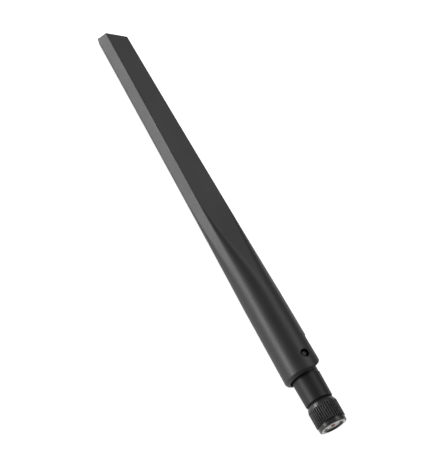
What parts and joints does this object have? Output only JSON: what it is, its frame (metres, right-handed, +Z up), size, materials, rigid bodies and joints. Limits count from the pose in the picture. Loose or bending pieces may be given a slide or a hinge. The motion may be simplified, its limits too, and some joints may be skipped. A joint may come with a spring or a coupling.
{
  "type": "wifi antenna",
  "caption": "Black bevelled-blade wifi antenna with a slanted tip, which tilts and swivels on a knurled screw-on coaxial plug.",
  "frame": {"origin": "centre of the antenna's box, on the ground that it lies on", "axes": "+X towards the plug's mouth, -X towards the tip, +Y the side of the fold slot, +Z up"},
  "size_m": [0.1442, 0.0128, 0.0134],
  "materials": {
    "housing_plastic": "satin black, fine moulded texture",
    "elbow_plastic": "satin black",
    "collar_plastic": "black",
    "sleeve_plastic": "glossy black, straight knurl",
    "nut_nickel": "nickel plate",
    "snap_steel": "spring steel",
    "body_nickel": "nickel plate",
    "insulator_white": "white",
    "contact_gold": "gold plate",
    "gasket_rubber": "soft",
    "ferrule_nickel": "nickel plate",
    "clip_steel": "spring steel",
    "cable_jacket": "smooth black jacket",
    "holder_plastic": "natural moulding",
    "board_laminate": "green laminate",
    "upper_copper": "bare copper",
    "lower_copper": "bare copper",
    "shrink_plastic": "shrunk sleeve",
    "braid_tin": "tinned braid",
    "core_plastic": "bared core",
    "feed_solder_metal": "solder",
    "ground_solder_metal": "solder"
  },
  "bodies": {
    "connector": {"connector_body": "body_nickel", "insulator": "insulator_white", "centre_contact": "contact_gold", "sealing_gasket": "gasket_rubber", "crimp_ferrule": "ferrule_nickel", "collar_ring": "collar_plastic", "retaining_clip": "clip_steel"},
    "nut_retainer": {"snap_ring": "snap_steel"},
    "coupling_nut": {"nut_core": "nut_nickel", "nut_sleeve": "sleeve_plastic"},
    "elbow": {"elbow": "elbow_plastic", "coax_cable": "cable_jacket"},
    "antenna": {"housing": "housing_plastic", "board_holder": "holder_plastic", "antenna_board": "board_laminate", "upper_radiator": "upper_copper", "lower_radiator": "lower_copper", "shrink_sleeve": "shrink_plastic", "braid_end": "braid_tin", "cable_core": "core_plastic", "feed_solder": "feed_solder_metal", "ground_solder": "ground_solder_metal"}
  },
  "joints": [
    {"name": "nut_play", "type": "slide", "parent": "connector", "child": "nut_retainer", "axis": [0.9996, 0, 0.0293], "range_m": [0, 0.0008]},
    {"name": "nut_spin", "type": "hinge", "parent": "nut_retainer", "child": "coupling_nut", "pos_m": [0.06576, 0, 0.00726], "axis": [0.9996, 0, 0.0293], "continuous": true},
    {"name": "elbow_swivel", "type": "hinge", "parent": "connector", "child": "elbow", "pos_m": [0.06316, 0, 0.00719], "axis": [-0.9996, 0, -0.0293], "range_deg": [-180, 180]},
    {"name": "antenna_tilt", "type": "hinge", "parent": "elbow", "child": "antenna", "pos_m": [0.04911, 0, 0.00677], "axis": [0.0293, 0, -0.9996], "range_deg": [0, 90], "deforming": ["coax_cable"]}
  ]
}
